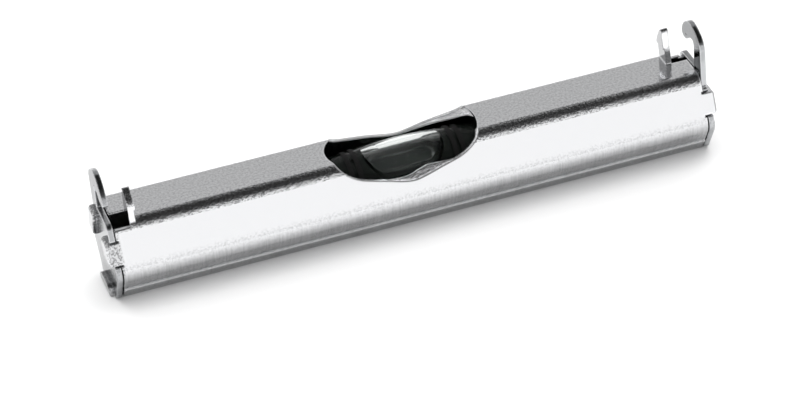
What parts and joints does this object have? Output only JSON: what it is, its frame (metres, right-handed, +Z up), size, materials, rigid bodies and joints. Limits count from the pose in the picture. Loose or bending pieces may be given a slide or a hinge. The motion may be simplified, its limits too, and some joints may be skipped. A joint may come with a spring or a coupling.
{
  "type": "line level",
  "caption": "Pocket line level: folded hexagonal sheet-metal body with a hook at each end for a taut string and a bubble vial in a top window.",
  "frame": {"origin": "middle of the body's flat bottom face", "axes": "+X along the body, +Y towards the back, where the window lip is shallow, +Z up through the window"},
  "size_m": [0.0794, 0.011, 0.0168],
  "materials": {
    "plated_sheet": "nickel-plated folded steel sheet, worn satin",
    "plated_plate": "nickel-plated punched steel sheet, worn satin",
    "vial_glass": "clear tinted glass",
    "vial_liquid": "clear liquid",
    "vial_block": "dark moulded block",
    "ring_ink": "matt ink"
  },
  "bodies": {
    "root": {"body_shell": "plated_sheet", "end_plate_right": "plated_plate", "end_plate_left": "plated_plate", "vial_glass": "vial_glass", "vial_liquid": "vial_liquid", "vial_block_right": "vial_block", "vial_block_left": "vial_block", "index_ring_1": "ring_ink", "index_ring_2": "ring_ink", "index_ring_3": "ring_ink", "index_ring_4": "ring_ink"}
  },
  "joints": []
}
